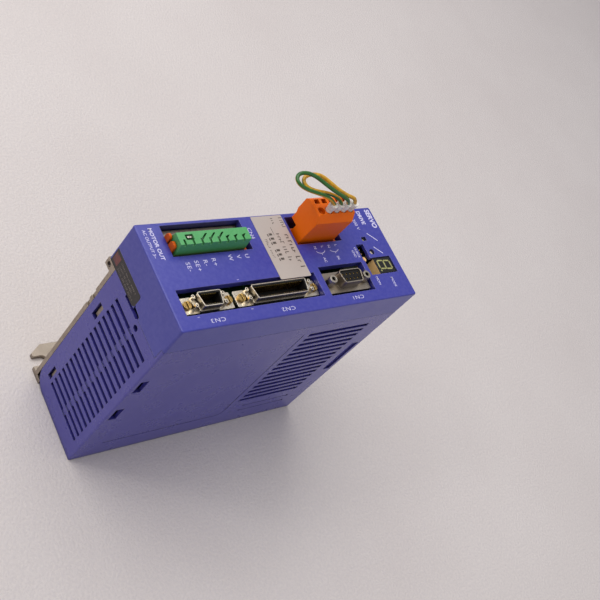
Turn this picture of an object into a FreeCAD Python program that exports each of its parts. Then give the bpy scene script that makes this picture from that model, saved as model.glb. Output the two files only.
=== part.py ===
import FreeCAD, Part
import math
import os

from FreeCAD import Rotation, Vector

# A book-type servo drive: an aluminium chassis with a mounting flange, a plastic housing that snaps over
# it, and a front bezel with the connectors behind its windows.
#
# Drawing axes, in millimetres: x across the front from the bezel's left edge, y upwards as installed from
# the lower end, z forwards from the mounting face. save() moves the finished pieces so that the origin is
# the centre of the mounting face.

# ---- driving dimensions ----
WIDTH = 59.0            # front bezel, x
HEIGHT = 160.0          # front bezel, y
DEPTH = 137.0           # mounting face to front face, z
FLANGE_REACH = 11.0     # mounting flange beyond the bezel's left edge
SKIN = 2.0              # plastic wall of housing and bezel
PANEL_BACK = 135.0      # rear face of the bezel's front plate
COLLAR_BACK = 133.0     # rear end of the collar around each window
PLATE = 3.0             # chassis back plate
SIDE_X0 = 4.8           # outer face of the chassis side wall
SIDE_X1 = 7.3           # inner face of the chassis side wall
SKIRT_Z = 110.0         # rear edge of the bezel's lower, upper and left skirts
SEAM_Z = 117.5          # where housing and bezel meet on the right
CORNER_R = 12.0         # rounded rear left corner of the housing's lower and upper walls
PITCH = 5.08            # pole pitch of both terminal plugs
BOARD_T = 1.6           # circuit board thickness
SLOT_R = 3.0            # mounting slot and hole for an M5 screw
SLOT_X = -1.0           # centre of the lower slot
HOLE_X = -5.5           # centre of the upper hole, clear of the bezel's edge
SLOT_Y = 6.5            # centre of the lower slot's round end
HOLE_Y = HEIGHT - 6.5   # centre of the upper hole

ORIGIN = Vector((WIDTH - FLANGE_REACH) / 2, HEIGHT / 2, 0)

# windows in the front plate: x0, x1, y0, y1
MOTOR_WINDOW = (1.8, 19.6, 13.7, 62.5)
POWER_WINDOW = (2.5, 20.0, 93.0, 125.5)
SERIAL_WINDOW = (34.7, 52.3, 98.5, 131.2)
SIGNAL_WINDOW = (37.3, 51.3, 6.4, 93.9)
DISPLAY_WINDOW = (33.0, 43.6, 134.3, 155.0)
CHECK_WINDOW = (23.8, 34.0, 133.8, 139.5)
LAMP_WINDOW = (19.3, 21.8, 140.8, 144.3)
BUTTON_AT = (29.3, 143.3)
BUTTON_HOLE_R = 1.75
BEZEL_SCREWS = [(28.0, 10.0), (28.0, 118.0), (54.5, 134.0), (28.0, 62.0)]
LABEL_T = 0.15

# boards, and the four posts that join them to the side wall
POWER_BOARD_X = 19.6
CONTROL_BOARD_X = 52.5
FRONT_BOARD_Z = 126.9
FRONT_BOARD_TOP = FRONT_BOARD_Z + BOARD_T
POSTS = [(y, z) for y in (20.0, 140.0) for z in (20.0, 100.0)]

# terminal plugs and their headers
MOTOR_PLUG = dict(y0=15.6, y1=58.4, x0=9.4, x1=18.3, poles=8, first=19.1, top=143.8, pin_x=13.9)
POWER_PLUG = dict(y0=95.3, y1=121.3, x0=9.8, x1=18.2, poles=5, first=98.3, top=158.0, pin_x=14.0)
HEADER_Z = 116.0        # rear face of both headers
HEADER_FLOOR = 122.0
PLUG_FOOT = 122.6       # inner end of both plugs when pushed home
PLAY = 0.3              # clearance between plug and header
ENTRY_X = 13.5          # wire entries of the supply plug
RELEASE_X = 7.7         # release slots of the supply plug
FERRULE_TOP = 163.2

# jumper wires on the supply plug
WIRE_R = 1.05
WIRE_A = [(13.5, 103.38, 163.2), (12.6, 100.2, 165.9), (11.3, 95.5, 167.7), (10.2, 89.3, 169.1),
          (8.6, 83.4, 169.9), (6.6, 79.7, 170.4), (4.4, 78.0, 170.9), (2.3, 77.9, 171.4), (0.5, 79.4, 171.9),
          (-0.4, 82.2, 172.3), (0.2, 86.4, 172.7), (3.0, 90.8, 172.6), (7.6, 95.4, 171.8),
          (11.0, 101.2, 170.2), (13.2, 107.0, 168.4), (13.8, 111.6, 166.0), (13.5, 113.54, 163.2)]
WIRE_B = [(13.5, 108.46, 163.2), (13.2, 106.7, 165.3), (11.3, 103.9, 166.5), (9.6, 100.4, 166.9),
          (8.3, 96.4, 166.8), (7.3, 91.6, 166.9), (5.9, 87.6, 167.2), (4.0, 85.4, 167.7), (1.9, 84.9, 168.2),
          (-0.1, 86.2, 168.7), (-1.2, 89.2, 169.1), (-1.4, 93.6, 169.4), (0.0, 98.0, 169.6),
          (3.2, 102.0, 169.7), (7.4, 105.8, 169.5), (10.8, 111.0, 168.5), (12.9, 116.6, 166.9),
          (13.5, 118.62, 163.2)]


# ---- helpers ----
def box(x0, x1, y0, y1, z0, z1):
    return Part.makeBox(x1 - x0, y1 - y0, z1 - z0, Vector(x0, y0, z0))


def rod(r, start, end):
    """A cylinder from one point to another."""
    start = Vector(*start)
    along = Vector(*end) - start
    return Part.makeCylinder(r, along.Length, start, along)


def cone(r0, r1, start, end):
    start = Vector(*start)
    along = Vector(*end) - start
    return Part.makeCone(r0, r1, along.Length, start, along)


def hexagon(across, start, end):
    """A hexagonal bar, measured across its flats."""
    start = Vector(*start)
    along = Vector(*end) - start
    turn = Rotation(Vector(0, 0, 1), along)
    r = across / math.sqrt(3)
    ring = [start + turn.multVec(Vector(r * math.cos(a), r * math.sin(a), 0))
            for a in (math.pi / 3 * i for i in range(6))]
    return Part.Face(Part.makePolygon(ring + ring[:1])).extrude(along)


def prism(points, along):
    """A closed outline of 3-D points, pushed along a vector."""
    corners = [Vector(*p) for p in points]
    return Part.Face(Part.makePolygon(corners + corners[:1])).extrude(Vector(*along))


def fuse(shapes):
    shapes = list(shapes)
    if len(shapes) == 1:
        return shapes[0]
    return shapes[0].multiFuse(shapes[1:]).removeSplitter()


def cut(shape, tools):
    tools = list(tools)
    return shape.cut(tools) if tools else shape


def edges_along(shape, axis):
    """The straight edges that run along one axis: 0 for x, 1 for y, 2 for z."""
    found = []
    for edge in shape.Edges:
        if len(edge.Vertexes) == 2:
            a, b = (v.Point for v in edge.Vertexes)
            if all(abs(a[i] - b[i]) < 1e-6 for i in range(3) if i != axis):
                found.append(edge)
    return found


def rounded(block, axis, r, wanted=lambda p: True):
    """Rounds the edges along one axis whose ends pass the test."""
    edges = [e for e in edges_along(block, axis) if all(wanted(v.Point) for v in e.Vertexes)]
    return block.makeFillet(r, edges)


def mirrored(shape):
    """The same shape at the other end of the drive."""
    return shape.mirror(Vector(0, HEIGHT / 2, 0), Vector(0, 1, 0))


def save(name, shape):
    shapes = shape if isinstance(shape, list) else [shape]
    solids = [s for one in shapes for s in one.Solids]
    for solid in solids:
        if not solid.isValid():
            raise ValueError(name + " has an invalid solid")
    moved = [s.translated(-ORIGIN) for s in solids]
    whole = moved[0] if len(moved) == 1 else Part.makeCompound(moved)
    whole.exportStep("parts/" + name + ".step")


def pole_ys(plug):
    return [plug["first"] + PITCH * i for i in range(plug["poles"])]


# ---- chassis, housing and bezel ----
def back_plate():
    """The plate against the cabinet wall, with the flange's open slot and closed hole."""
    lower = [(-FLANGE_REACH, 8.2), (-6.3, 1.7), (2.0, 1.7), (2.0, 0.0), (11.3, 0.0), (11.3, 2.3), (56.5, 2.3)]
    upper = [(x, HEIGHT - y) for x, y in reversed(lower)]
    plate = prism([(x, y, 0) for x, y in lower + upper], (0, 0, PLATE))
    tools = [rod(SLOT_R, (SLOT_X, SLOT_Y, -1), (SLOT_X, SLOT_Y, PLATE + 1)),
             box(SLOT_X - SLOT_R, SLOT_X + SLOT_R, -1, SLOT_Y, -1, PLATE + 1),
             rod(SLOT_R, (HOLE_X, HOLE_Y, -1), (HOLE_X, HOLE_Y, PLATE + 1))]
    return cut(plate, tools)


def side_wall():
    """The cooling side wall on the back plate, with the tongues that the housing snaps on."""
    side = box(SIDE_X0, SIDE_X1, 0, HEIGHT, PLATE, SKIRT_Z - 0.3)
    front = box(SIDE_X0, SIDE_X1, 2.4, 75, SKIRT_Z - 1, COLLAR_BACK - 0.2)
    lip = box(2.2, SIDE_X1, 2.4, 75, COLLAR_BACK - 1.5, COLLAR_BACK - 0.2)
    tongues = []
    for z0, z1, x0, x1 in ((75.0, 89.0, 12.5, 15.7), (12.0, 25.5, 13.8, 16.2)):
        tongue = box(SIDE_X1 - 0.5, 17.0, 2.3, 4.2, z0, z1)
        catch = box(x0, x1, 1.4, 2.5, z0 + 2.6, z1 - 2.0)
        catch = catch.makeChamfer(0.4, [e for e in catch.Edges if all(v.Y < 1.5 for v in e.Vertexes)])
        tongue = fuse([tongue, catch])
        tongues += [tongue, mirrored(tongue)]
    body = fuse([side, front, lip] + tongues)
    tools = [box(SIDE_X0 - 1, SIDE_X1 + 1, -1, 0.8, z0, z1) for z0, z1 in ((83.0, 88.0), (76.0, 80.0))]
    tools += [rod(1.6, (SIDE_X0 - 1, y, z), (SIDE_X1 + 1, y, z)) for y, z in POSTS]
    tools += [rod(1.25, (SIDE_X0 - 1, y, MODULE_Z), (SIDE_X1 + 1, y, MODULE_Z)) for y in MODULE_SCREW_YS]
    return cut(body, tools)


def earth_lug():
    """The small tab for the earth screw, welded to the side wall's front lower corner."""
    lug = box(-0.5, SIDE_X0, 0, 2.0, 104.5, SKIRT_Z - 0.3)
    return lug.cut(rod(1.6, (2.3, -1, 107.0), (2.3, 3, 107.0)))


def end_wall():
    """The housing's lower wall, with its vents, snap windows, round hole and front notch."""
    wall = box(7.5, WIDTH, 0, SKIN, 0.3, SKIRT_Z - 0.2)
    outside = box(6, 7.5 + CORNER_R, -1, SKIN + 1, -1, CORNER_R)
    outside = outside.cut(rod(CORNER_R, (7.5 + CORNER_R, -2, CORNER_R), (7.5 + CORNER_R, SKIN + 2, CORNER_R)))
    tools = [outside]
    for row in range(17):
        z = 14.5 + 5.38 * row
        for x0, x1 in ((18.5, 34.8), (38.3, 53.7)):
            tools.append(box(x0, x1, -1, SKIN + 1, z - 1.3, z + 1.3))
        tools.append(box(34.0, 39.0, -1, 0.6, z - 1.3, z + 1.3))
    tools.append(box(12.0, 16.0, -1, SKIN + 1, 76.5, 87.5))
    tools.append(box(13.3, 16.5, -1, SKIN + 1, 14.0, 24.0))
    tools.append(rod(1.75, (38.0, -1, 105.6), (38.0, SKIN + 1, 105.6)))
    notch = [(21.7, -1, SKIRT_Z + 1), (21.7, -1, 108.3), (34.6, -1, 108.3), (36.0, -1, SKIRT_Z + 1)]
    tools.append(prism(notch, (0, SKIN + 2, 0)))
    return cut(wall, tools)


def right_wall():
    """The housing's right wall, with its vents, snap windows, finger recess and engraved lines."""
    wall = box(WIDTH - SKIN, WIDTH, 0, HEIGHT, 0.3, SEAM_Z)
    x0, x1 = WIDTH - SKIN - 1, WIDTH + 1
    tools = [box(x0, x1, 99.5, 145.5, z - 1.5, z + 1.5) for z in (31.3 + 5.43 * row for row in range(15))]
    tools += [box(x0, x1, 2.5, 7.5, z0, z1) for z0, z1 in ((77.0, 88.5), (47.5, 59.0))]
    tools.append(box(WIDTH - 1.2, x1, 151.5, 157.0, 52.0, 84.0))
    groove = WIDTH - 0.9
    line = 0.6
    for z in (15.0, 21.6):
        tools.append(box(groove, x1, 108.5, 144.5, z - line / 2, z + line / 2))
        tools.append(box(x0, x1, 143.0, 144.6, z - 0.8, z + 0.8))
        tools.append(box(groove, x1, 108.2, 109.6, z - 0.7, z + 0.7))
    r = 5.0
    y1, z0 = 95.0, 15.2
    bend = rod(r, (groove, y1 - r, z0 + r), (x1, y1 - r, z0 + r))
    bend = bend.cut(rod(r - line, (groove - 1, y1 - r, z0 + r), (x1 + 1, y1 - r, z0 + r)))
    bend = bend.common(box(groove - 1, x1 + 1, y1 - r, y1 + 1, z0 - 1, z0 + r))
    tools.append(fuse([box(groove, x1, 14.0, y1 - r, z0, z0 + line), bend,
                       box(groove, x1, y1 - line, y1, z0 + r, 109.0)]))
    return cut(wall, tools)


def main_housing():
    """The plastic cover: right, lower and upper walls, open to the left and to the rear."""
    lower = end_wall()
    shell = fuse([right_wall(), lower, mirrored(lower)])
    return rounded(shell, 2, 1.0, lambda p: p.x > WIDTH - 0.01 and (p.y < 0.01 or p.y > HEIGHT - 0.01))


def front_bezel():
    """The front plate with its skirts, its windows and the collar around each of the large ones."""
    block = box(0, WIDTH, 0, HEIGHT, SKIRT_Z, DEPTH)
    block = rounded(block, 2, 1.2)
    front_edges = [e for e in block.Edges if all(abs(v.Z - DEPTH) < 1e-6 for v in e.Vertexes)]
    block = block.makeFillet(0.7, front_edges)
    hollow = box(1.5, WIDTH - SKIN, SKIN, HEIGHT - SKIN, SKIRT_Z - 1, PANEL_BACK)
    step = box(WIDTH - SKIN - 0.15, WIDTH + 1, -1, HEIGHT + 1, SKIRT_Z - 1, SEAM_Z + 0.2)
    shell = block.cut([hollow, step])
    flange = box(1.0, 4.6, SKIN - 0.5, HEIGHT - SKIN + 0.5, SKIRT_Z, SKIRT_Z + 1.5)
    collar = 1.2
    frames = [box(max(x0 - collar, 1.0), x1 + collar, y0 - collar, y1 + collar, COLLAR_BACK, PANEL_BACK + 1)
              for x0, x1, y0, y1 in LARGE_WINDOWS]
    bosses = [rod(2.4, (x, y, FRONT_BOARD_TOP), (x, y, PANEL_BACK + 1)) for x, y in BEZEL_SCREWS]
    shell = fuse([shell, flange] + frames + bosses)
    tools = [box(x0, x1, y0, y1, COLLAR_BACK - 1, DEPTH + 1)
             for x0, x1, y0, y1 in LARGE_WINDOWS + [DISPLAY_WINDOW, CHECK_WINDOW, LAMP_WINDOW]]
    tools.append(rod(BUTTON_HOLE_R, BUTTON_AT + (COLLAR_BACK,), BUTTON_AT + (DEPTH + 1,)))
    tools += [rod(0.9, (x, y, FRONT_BOARD_TOP - 1), (x, y, FRONT_BOARD_TOP + 4.5)) for x, y in BEZEL_SCREWS]
    tools.append(box(-1, 29.6, -1, LABEL_T + 0.05, SKIRT_Z - 1, 119.6))
    notch = [(29.6, -1, SKIRT_Z - 1), (29.6, -1, 113.3), (30.8, -1, 112.3), (35.3, -1, 111.8),
             (35.9, -1, 111.2), (35.9, -1, SKIRT_Z - 1)]
    tools.append(prism(notch, (0, SKIN + 2, 0)))
    return cut(shell, tools)


LARGE_WINDOWS = [MOTOR_WINDOW, POWER_WINDOW, SERIAL_WINDOW, SIGNAL_WINDOW]


def caution_label():
    """A strip in a shallow pocket of the lower skirt, round at its right end."""
    strip = rounded(box(1.3, 29.5, 0.05, LABEL_T + 0.05, SKIRT_Z + 0.1, 119.5), 1, 2.5, lambda p: p.x > 20)
    return strip


def nameplate_label():
    return rounded(box(0.8, 39.0, 70.5, 91.3, DEPTH, DEPTH + LABEL_T), 2, 0.5)


# ---- power section ----
MODULE_Z = 60.0
MODULE_SCREW_YS = (50.5, 109.5)
MODULE_X0 = SIDE_X1 + 0.5


def thermal_pad():
    pad = box(SIDE_X1, MODULE_X0, 46.0, 114.0, 42.0, 78.0)
    return cut(pad, [rod(1.8, (SIDE_X1 - 1, y, MODULE_Z), (MODULE_X0 + 1, y, MODULE_Z))
                     for y in MODULE_SCREW_YS])


def power_module():
    """The moulded transistor module that the side wall cools."""
    body = rounded(box(MODULE_X0, MODULE_X0 + 6.0, 46.0, 114.0, 42.0, 78.0), 0, 1.5)
    body = body.makeChamfer(0.8, [e for e in body.Edges if all(v.X > MODULE_X0 + 5.9 for v in e.Vertexes)])
    return cut(body, [rod(1.8, (MODULE_X0 - 1, y, MODULE_Z), (MODULE_X0 + 9, y, MODULE_Z))
                      for y in MODULE_SCREW_YS])


def module_leads():
    """Two rows of leads from the module to the power board."""
    x0 = MODULE_X0 + 6.0
    return [box(x0, POWER_BOARD_X, y - 0.5, y + 0.5, z - 0.3, z + 0.3)
            for z in (46.0, 74.0) for y in (56.0 + 4.8 * i for i in range(11))]


def module_screws():
    x0 = MODULE_X0 + 6.0
    screws = []
    for y in MODULE_SCREW_YS:
        head = rod(2.8, (x0, y, MODULE_Z), (x0 + 2.0, y, MODULE_Z))
        shank = rod(1.22, (SIDE_X0 + 0.4, y, MODULE_Z), (x0 + 1, y, MODULE_Z))
        screws.append(fuse([head, shank]))
    return screws


def rectifier_bridge():
    """A flat bridge against the side wall, its four leads in the power board."""
    body = rounded(box(SIDE_X1, SIDE_X1 + 4.6, 118.0, 134.0, 62.0, 80.0), 0, 1.2)
    leads = [box(SIDE_X1 + 3.6, POWER_BOARD_X, y - 0.6, y + 0.6, 64.0, 65.0)
             for y in (120.0, 124.0, 128.0, 132.0)]
    return fuse([body] + leads)


def upright_board(x0, y0, y1, z0, z1):
    sheet = rounded(box(x0, x0 + BOARD_T, y0, y1, z0, z1), 0, 1.5)
    return cut(sheet, [rod(1.6, (x0 - 1, y, z), (x0 + BOARD_T + 1, y, z)) for y, z in POSTS])


def power_board():
    """The board that carries the power parts, pierced for the pins of both headers."""
    pins = [header_pin(plug, y, 0.1) for plug in (MOTOR_PLUG, POWER_PLUG) for y in pole_ys(plug)]
    return cut(upright_board(POWER_BOARD_X, 8.0, 152.0, 8.0, 126.5), pins)


def control_board():
    return upright_board(CONTROL_BOARD_X, 8.0, 152.0, 12.0, 122.0)


def wall_spacers():
    """Round spacers between the side wall and the power board."""
    spacers = []
    for y, z in POSTS:
        bore = rod(1.3, (SIDE_X1 - 1, y, z), (POWER_BOARD_X + 1, y, z))
        spacers.append(rod(2.9, (SIDE_X1, y, z), (POWER_BOARD_X, y, z)).cut(bore))
    return spacers


def side_wall_screws():
    """Dome screws through the side wall into the spacers, with a cross recess."""
    screws = []
    for y, z in POSTS:
        head = rod(2.8, (3.2, y, z), (SIDE_X0, y, z))
        head = head.makeFillet(0.8, [e for e in head.Edges if all(v.X < 3.3 for v in e.Vertexes)])
        shank = rod(1.25, (SIDE_X0 - 0.5, y, z), (12.5, y, z))
        cross = [box(3.0, 4.0, y - 1.6, y + 1.6, z - 0.3, z + 0.3),
                 box(3.0, 4.0, y - 0.3, y + 0.3, z - 1.6, z + 1.6)]
        screws.append(cut(fuse([head, shank]), cross))
    return screws


def board_posts():
    """Hexagonal posts that hold the power board and carry the control board."""
    x0 = POWER_BOARD_X + BOARD_T
    posts = []
    for y, z in POSTS:
        bar = hexagon(5.5, (x0, y, z), (CONTROL_BOARD_X, y, z))
        stud = rod(1.25, (13.0, y, z), (x0 + 1, y, z))
        bore = rod(1.3, (CONTROL_BOARD_X - 8, y, z), (CONTROL_BOARD_X + 1, y, z))
        posts.append(fuse([bar, stud]).cut(bore))
    return posts


def board_screws():
    """The slotted screws of the control board."""
    x1 = CONTROL_BOARD_X + BOARD_T
    screws = []
    for y, z in POSTS:
        head = rod(2.7, (x1, y, z), (x1 + 1.8, y, z))
        slot = box(x1 + 1.0, x1 + 2, y - 3, y + 3, z - 0.35, z + 0.35)
        shank = rod(1.25, (x1 - 8, y, z), (x1 + 0.5, y, z))
        screws.append(fuse([head, shank]).cut(slot))
    return screws


def bus_capacitors():
    """Two electrolytic cans on the power board, with the crimped groove near the foot."""
    x0 = POWER_BOARD_X + BOARD_T
    cans = []
    for y in (38.0, 62.0):
        can = rod(11.0, (x0, y, 46.0), (x0 + 26.0, y, 46.0))
        groove = rod(12.0, (x0 + 2.0, y, 46.0), (x0 + 3.2, y, 46.0))
        cans.append(can.cut(groove.cut(rod(10.3, (x0, y, 46.0), (x0 + 9, y, 46.0)))))
    return cans


def transformer_core():
    """A ferrite frame around the winding, on the power board."""
    x0 = POWER_BOARD_X + BOARD_T
    block = box(x0 + 0.5, x0 + 20.5, 78.0, 102.0, 32.0, 56.0)
    window = box(x0 + 4.5, x0 + 16.5, 82.0, 98.0, 31.0, 57.0)
    middle = box(x0 + 4.0, x0 + 17.0, 87.0, 93.0, 36.0, 52.0)
    return fuse([block.cut(window), middle])


def transformer_winding():
    x0 = POWER_BOARD_X + BOARD_T
    coil = box(x0 + 5.0, x0 + 16.0, 82.3, 97.7, 36.5, 51.5)
    return coil.cut(box(x0, x0 + 20, 86.7, 93.3, 30, 60))


def inrush_relay():
    x0 = POWER_BOARD_X + BOARD_T
    return rounded(box(x0, x0 + 15.5, 108.0, 128.0, 34.0, 44.0), 0, 0.8)


def line_choke():
    """A wound ring, lying on the power board."""
    x0 = POWER_BOARD_X + BOARD_T
    return Part.makeTorus(8.0, 4.5, Vector(x0 + 4.5, 118.0, 66.0), Vector(1, 0, 0))


def line_fuse():
    """A cartridge fuse in its two clips."""
    x = POWER_BOARD_X + BOARD_T + 4.0
    tube = rod(2.5, (x, 104.0, 88.0), (x, 124.0, 88.0))
    caps = [rod(2.8, (x, y, 88.0), (x, y + 5.0, 88.0)) for y in (104.0, 119.0)]
    feet = [box(x - 4.0, x, y, y + 3.0, 86.5, 89.5) for y in (105.0, 120.0)]
    return fuse([tube] + caps + feet)


def control_chips():
    """The processor and its neighbours, on the control board's outer face."""
    x0 = CONTROL_BOARD_X + BOARD_T
    places = [(62, 84, 48, 70), (90, 104, 54, 64), (34, 48, 52, 66), (62, 78, 84, 96), (112, 130, 76, 88),
              (106, 118, 44, 52), (130, 140, 56, 66)]
    return [box(x0, x0 + 1.4, y0, y1, z0, z1) for y0, y1, z0, z1 in places]


def board_link():
    """The connector that joins the control board to the front board."""
    strip = box(CONTROL_BOARD_X - 5.0, CONTROL_BOARD_X, 60.0, 100.0, 112.0, FRONT_BOARD_Z)
    return strip.cut(box(CONTROL_BOARD_X - 6, CONTROL_BOARD_X - 4.4, 59.0, 101.0, 120.6, 121.0))


# ---- terminal connectors ----
def header(plug, x0, x1, y0, y1):
    """A shrouded header that stands against the power board and takes the plug's foot."""
    outer = box(x0, x1, y0, y1, HEADER_Z, 134.9)
    outer = fuse([outer, box(x1 - 0.5, POWER_BOARD_X, y0, y1, HEADER_Z, 125.0)])
    cavity = box(plug["x0"] - PLAY, plug["x1"] + PLAY, plug["y0"] - PLAY, plug["y1"] + PLAY,
                 HEADER_FLOOR, 136)
    return cut(outer, [cavity] + [header_pin(plug, y, 0.02) for y in pole_ys(plug)])


def header_pin(plug, y, grow=0.0):
    """A bent pin: from the power board sideways, then forward into the plug."""
    x = plug["pin_x"]
    half = 0.5 + grow
    sideways = box(x - half, POWER_BOARD_X + BOARD_T, y - half, y + half, HEADER_Z + 1.0 - grow,
                   HEADER_Z + 2.0 + grow)
    forward = box(x - half, x + half, y - half, y + half, HEADER_Z + 1.0 - grow, 131.0)
    return fuse([sideways, forward])


def header_pins(plug):
    return [header_pin(plug, y) for y in pole_ys(plug)]


def motor_header():
    """The motor outlet's header; its lower end wall rises into two rounded lobes."""
    shroud = header(MOTOR_PLUG, 7.9, 19.4, 13.9, 60.4)
    lobes = []
    for x0, x1 in ((7.9, 11.4), (12.5, 16.6)):
        lobe = box(x0, x1, 13.9, 15.3, 133, 140.8)
        lobes.append(rounded(lobe, 1, 1.6, lambda p: p.z > 140))
    return fuse([shroud] + lobes)


def power_header():
    return header(POWER_PLUG, 8.4, 19.4, 93.6, 123.0)


def motor_plug_body():
    """The plug's moulding: wire entries in its left side; notches, cuts and a test opening on top."""
    y0, y1, x0, x1 = (MOTOR_PLUG[k] for k in ("y0", "y1", "x0", "x1"))
    top = MOTOR_PLUG["top"]
    outline = [(x0, PLUG_FOOT), (x1, PLUG_FOOT), (x1, 136.0), (x1 - 0.7, top), (x0 + 1.2, top), (x0, 139.0)]
    body = prism([(x, y0, z) for x, z in outline], (0, y1 - y0, 0))
    tools = [box(12.0, 15.2, 19.9, 24.6, top - 2.0, top + 1), box(12.0, 12.7, 22.7, 24.6, 141.0, 142.0)]
    for i, y in enumerate(pole_ys(MOTOR_PLUG)):
        tools.append(box(x0 - 1, 12.6, y - 1.4, y + 1.4, 138.6, 141.6))
        tools.append(pin_bore(MOTOR_PLUG, y))
        tools.append(box(14.7, x1 + 1, y - 1.3, y - 0.1, top - 1.7, top + 1))
        reach = {2: 3.2, 3: 3.2, 4: 3.2, 5: 1.2, 6: 1.2, 7: 1.2}.get(i, 0)
        if reach:
            slant = [(15.6, y - 1.3), (15.6, y + 0.1), (15.4 - reach, y + reach * 1.2 + 0.1),
                     (15.4 - reach, y + reach * 1.2 - 1.2)]
            tools.append(prism([(x, at_y, top - 1.9) for x, at_y in slant], (0, 0, 3)))
    return cut(body, tools)


def pin_bore(plug, y):
    x = plug["pin_x"]
    return box(x - 0.8, x + 0.8, y - 0.8, y + 0.8, PLUG_FOOT - 1, 131.6)


def motor_plug_clamps():
    """One folded spring clamp per pole behind its wire entry; the second also fills the test opening."""
    clamps = []
    for i, y in enumerate(pole_ys(MOTOR_PLUG)):
        parts = [box(12.1, 12.6, y - 1.3, y + 1.3, 138.6, 141.4),
                 box(10.4, 12.6, y - 1.3, y + 1.3, 138.6, 139.1)]
        if i == 1:
            parts.append(box(12.1, 12.6, y - 1.3, y + 0.3, 141.0, 142.9))
            parts.append(box(12.1, 13.5, y - 2.6, y + 0.3, 142.4, 142.9))
        clamps.append(fuse(parts))
    return clamps


def power_plug_body():
    """A tall moulding with a sloped right shoulder, one wire entry and one release slot per pole."""
    y0, y1 = POWER_PLUG["y0"], POWER_PLUG["y1"]
    top = POWER_PLUG["top"]
    outline = [(9.8, PLUG_FOOT), (18.2, PLUG_FOOT), (18.2, 140.0), (18.7, 153.4), (16.0, top), (6.0, top),
               (3.6, 155.4), (3.6, 147.0), (4.5, 145.0), (4.5, 140.0), (9.8, 140.0)]
    body = prism([(x, y0, z) for x, z in outline], (0, y1 - y0, 0))
    body = body.cut(prism([(0, y0 - 1, top - 2.4), (0, y0 - 1, top + 1), (0, y0 + 1.5, top + 1)], (30, 0, 0)))
    tools = []
    for y in pole_ys(POWER_PLUG):
        tools.append(rod(2.2, (ENTRY_X, y, top - 2.0), (ENTRY_X, y, top + 1)))
        tools.append(rod(1.0, (ENTRY_X, y, top - 12.0), (ENTRY_X, y, top)))
        tools.append(box(RELEASE_X - 1.4, RELEASE_X + 1.4, y - 1.7, y + 1.7, top - 6.0, top + 1))
        tools.append(pin_bore(POWER_PLUG, y))
    return cut(body, tools)


def power_plug_clamps():
    """One folded spring clamp per pole, at the bottom of its release slot."""
    x = RELEASE_X - 1.4
    z = POWER_PLUG["top"] - 6.0
    return [fuse([box(x, x + 0.5, y - 1.5, y + 1.5, z, z + 3.0),
                  box(x, x + 2.6, y - 1.5, y + 1.5, z, z + 0.5)])
            for y in pole_ys(POWER_PLUG)]


def wired_poles():
    return pole_ys(POWER_PLUG)[1:]


def ferrule_collars(mouths):
    """The flared insulating collar of each crimped ferrule, seated in its wire entry round its wire."""
    seat = POWER_PLUG["top"] - 2.0
    collars = []
    for y in wired_poles():
        lower = rod(1.9, (ENTRY_X, y, seat), (ENTRY_X, y, 159.0))
        flare = cone(1.9, 2.3, (ENTRY_X, y, 159.0), (ENTRY_X, y, 161.0))
        upper = rod(2.3, (ENTRY_X, y, 161.0), (ENTRY_X, y, FERRULE_TOP))
        collars.append(cut(fuse([lower, flare, upper]), mouths))
    return collars


def ferrule_barrels():
    seat = POWER_PLUG["top"] - 2.0
    return [rod(0.9, (ENTRY_X, y, 147.0), (ENTRY_X, y, seat)) for y in wired_poles()]


def wire_path(points):
    """Straight runs joined by tangent arcs, each as large as its two runs allow."""
    points = [Vector(*p) for p in points]
    edges = []
    radii = []
    start = points[0]
    for before, corner, after in zip(points, points[1:], points[2:]):
        into = corner - before
        out = after - corner
        reach = 0.45 * min(into.Length, out.Length)
        half_turn = into.getAngle(out) / 2
        radius = reach / math.tan(half_turn)
        radii.append(round(radius, 1))
        into.normalize()
        out.normalize()
        first = corner - into * reach
        last = corner + out * reach
        inward = (out - into).normalize()
        middle = corner + inward * (radius / math.cos(half_turn) - radius)
        edges.append(Part.LineSegment(start, first).toShape())
        edges.append(Part.Arc(first, middle, last).toShape())
        start = last
    edges.append(Part.LineSegment(start, points[-1]).toShape())
    path = Part.Wire(edges)
    print("wire length", round(path.Length, 1), "arc radii", radii)
    return path


def wire_tube(path, points, r):
    """A round tube along the path."""
    start = Vector(*points[0])
    ring = Part.Wire(Part.Circle(start, Vector(*points[1]) - start, r).toShape())
    tube = path.makePipeShell([ring], True, False)
    print("volume ratio", round(tube.Volume / (math.pi * r ** 2 * path.Length), 3))
    return tube


# ---- signal connectors ----
SERIAL_AT = (44.0, 115.0)
SERIAL_FLANGE = 134.2
SERIAL_RIM = 141.0
JACKSCREW_REACH = 12.5


def d_block(cx, cy, long_half, short_half, lean, r, z0, z1):
    """A D-shaped block: the longer side faces left (-x), and the two ends lean inwards."""
    corners = [(cx - short_half, cy - long_half, z0), (cx - short_half, cy + long_half, z0),
               (cx + short_half, cy + long_half - lean, z0), (cx + short_half, cy - long_half + lean, z0)]
    return rounded(prism(corners, (0, 0, z1 - z0)), 2, r)


def serial_shell():
    """The serial port's metal flange and D-shaped rim."""
    cx, cy = SERIAL_AT
    z = SERIAL_FLANGE
    flange = rounded(box(cx - 6.25, cx + 6.25, cy - 15.4, cy + 15.4, z, z + 0.8), 2, 1.0)
    outer = d_block(cx, cy, 8.15, 3.95, 1.4, 1.6, z, SERIAL_RIM)
    inner = d_block(cx, cy, 7.65, 3.45, 1.3, 1.2, z - 1, SERIAL_RIM + 1)
    holes = [rod(1.6, (cx, cy + side * JACKSCREW_REACH, z - 1), (cx, cy + side * JACKSCREW_REACH, z + 2))
             for side in (-1, 1)]
    return cut(fuse([flange, outer]), [inner] + holes)


def serial_holes():
    cx, cy = SERIAL_AT
    long_row = [(cx - 1.42, cy + 2.74 * i) for i in (-2, -1, 0, 1, 2)]
    short_row = [(cx + 1.42, cy + 2.74 * i) for i in (-1.5, -0.5, 0.5, 1.5)]
    return long_row + short_row


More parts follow.
